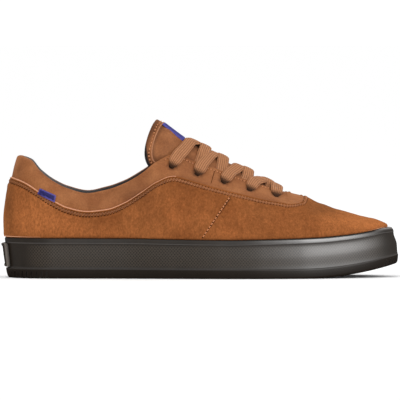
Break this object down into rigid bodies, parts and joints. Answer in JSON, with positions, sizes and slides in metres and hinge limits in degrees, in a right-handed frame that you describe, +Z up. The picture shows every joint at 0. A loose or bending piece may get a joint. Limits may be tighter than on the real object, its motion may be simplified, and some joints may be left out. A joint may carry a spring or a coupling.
{
  "type": "skateboarding shoe",
  "caption": "Low suede skateboarding shoe for the right foot, with a cup sole, padded collar and tongue, and flat laces crossed over the throat.",
  "frame": {"origin": "on the floor under the middle of the shoe's bounding box", "axes": "+X from heel to toe, +Y to the inner side of the foot, +Z up"},
  "size_m": [0.2996, 0.106, 0.1192],
  "materials": {
    "sole_rubber": "satin dark grey-brown rubber",
    "suede": "hairy tan suede",
    "nubuck": "smooth tan nubuck",
    "lining": "matte black textile",
    "woven_label": "woven dark blue ribbon",
    "lace": "ribbed flat tan lace"
  },
  "bodies": {
    "root": {"outsole": "sole_rubber", "heel_plate": "sole_rubber", "upper": "suede", "insole": "lining", "tongue": "nubuck", "tongue_label": "woven_label", "side_tag": "woven_label", "lace_bar": "lace", "lace_crossing_1": "lace", "lace_crossing_2": "lace", "lace_crossing_3": "lace", "lace_crossing_4": "lace"}
  },
  "joints": []
}
